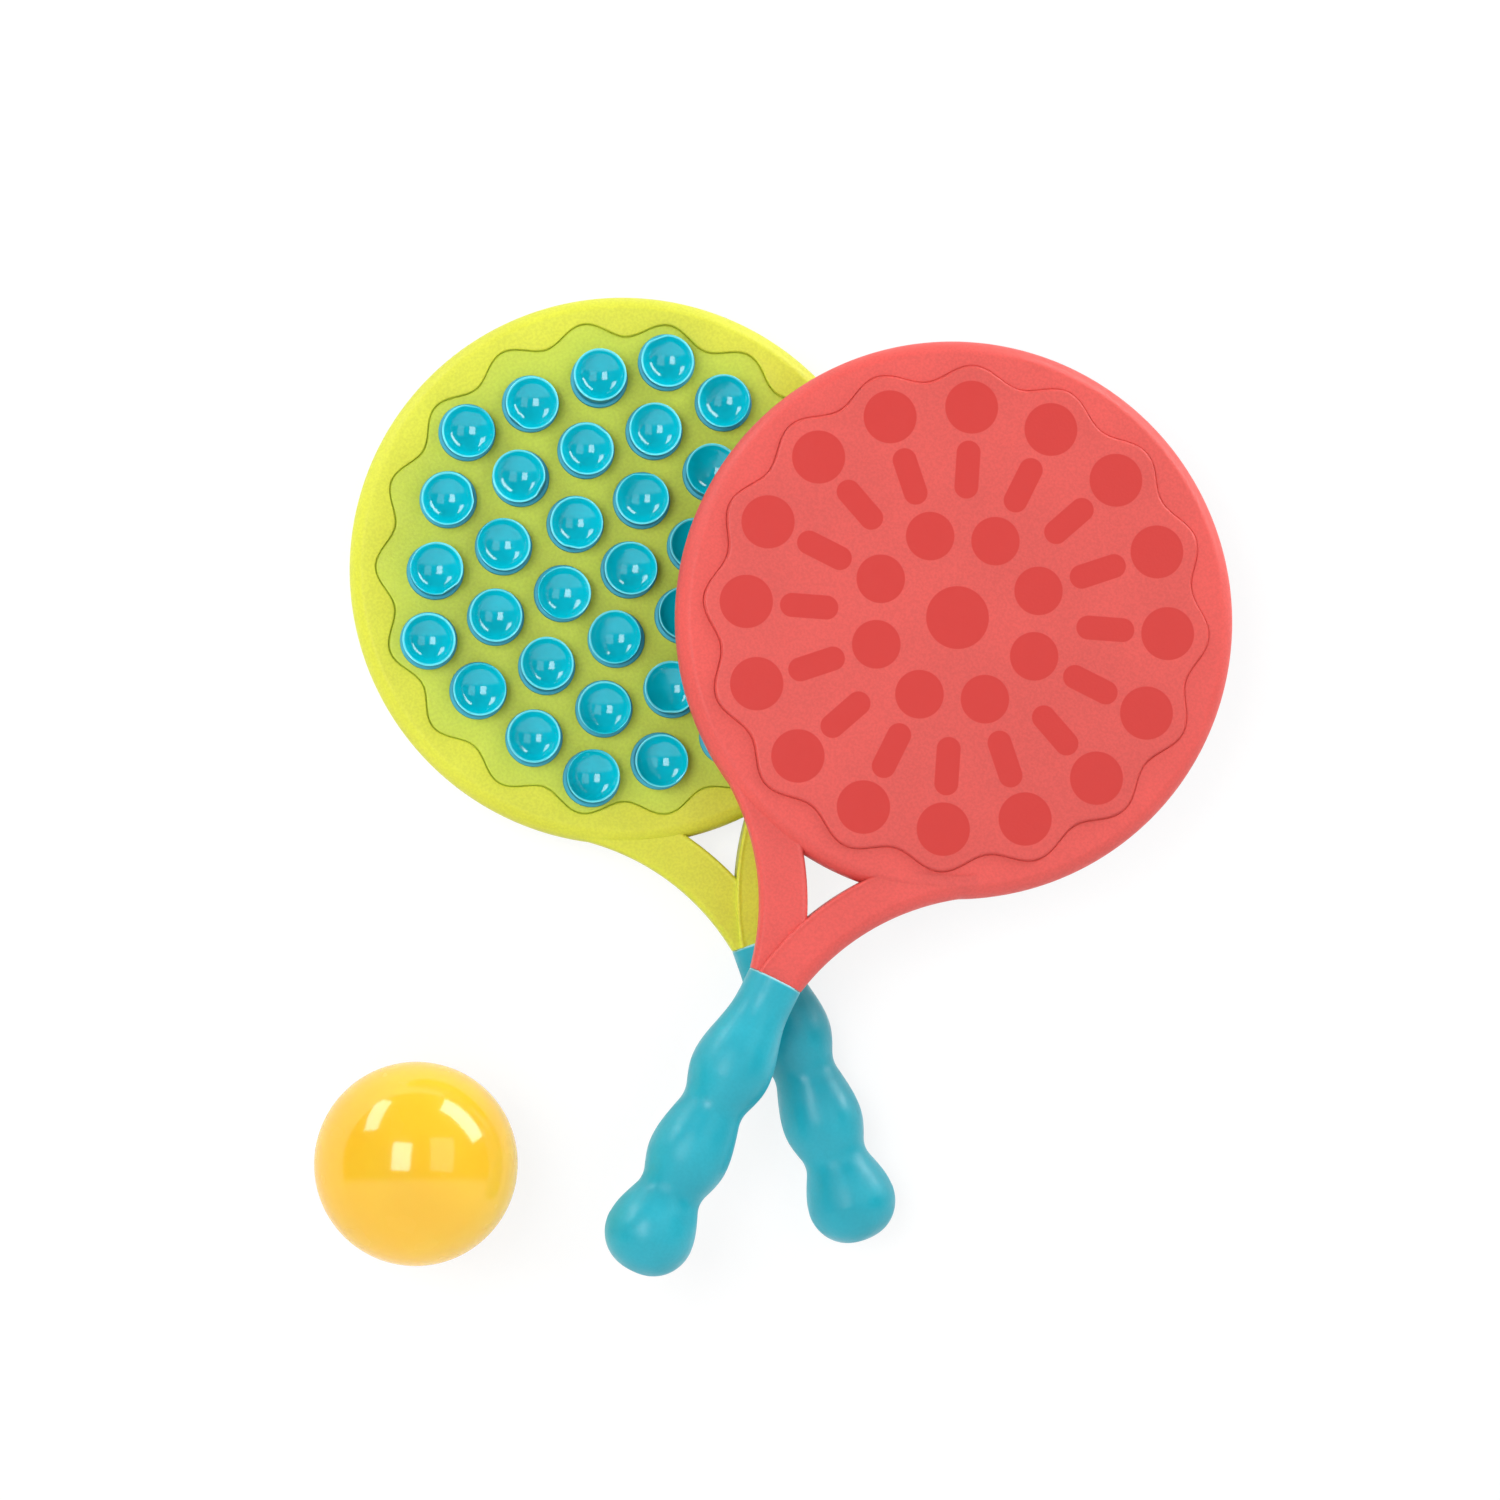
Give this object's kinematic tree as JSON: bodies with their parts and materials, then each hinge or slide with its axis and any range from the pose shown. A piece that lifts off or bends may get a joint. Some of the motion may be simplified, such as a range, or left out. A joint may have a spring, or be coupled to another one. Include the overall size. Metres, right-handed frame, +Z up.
{
  "type": "paddle ball game",
  "caption": "Paddle ball game: round paddles with suction cups on one face, a raised hitting panel on the other, crossed throat arms and soft grips, with a hollow ball.",
  "frame": {"origin": "middle of the set on the surface it lies on, under the centre of its box", "axes": "+Z up from that surface, +Y from the grips towards the heads, +X from the green paddle towards the red one"},
  "size_m": [0.3218, 0.3459, 0.071],
  "materials": {
    "lime_shell": "fine matt spark texture, lime green",
    "lime_plate": "fine matt spark texture, lime green",
    "lime_panel": "fine matt texture with a tone-on-tone printed design of plain shapes",
    "coral_shell": "fine matt spark texture, coral red",
    "coral_plate": "fine matt spark texture, coral red",
    "coral_panel": "fine matt texture with a tone-on-tone printed design of plain shapes",
    "cyan_cups": "glossy, slightly translucent soft plastic",
    "turquoise_grip": "soft-touch matt",
    "amber_ball": "smooth satin gloss, amber yellow"
  },
  "bodies": {
    "green_paddle": {"green_cup_side_shell": "lime_shell", "green_hit_side_shell": "lime_shell", "green_cup_plate": "lime_plate", "green_suction_mat": "cyan_cups", "green_hit_panel": "lime_panel", "green_grip": "turquoise_grip"},
    "red_paddle": {"red_cup_side_shell": "coral_shell", "red_hit_side_shell": "coral_shell", "red_cup_plate": "coral_plate", "red_suction_mat": "cyan_cups", "red_hit_panel": "coral_panel", "red_grip": "turquoise_grip"},
    "ball": {"ball_lower_half": "amber_ball", "ball_upper_half": "amber_ball"}
  },
  "joints": [
    {"name": "red_paddle_lift", "type": "slide", "parent": "green_paddle", "child": "red_paddle", "axis": [0, 0, 1], "range_m": [0, 0.25]},
    {"name": "ball_lift", "type": "slide", "parent": "green_paddle", "child": "ball", "axis": [0, 0, 1], "range_m": [0, 0.3]}
  ]
}
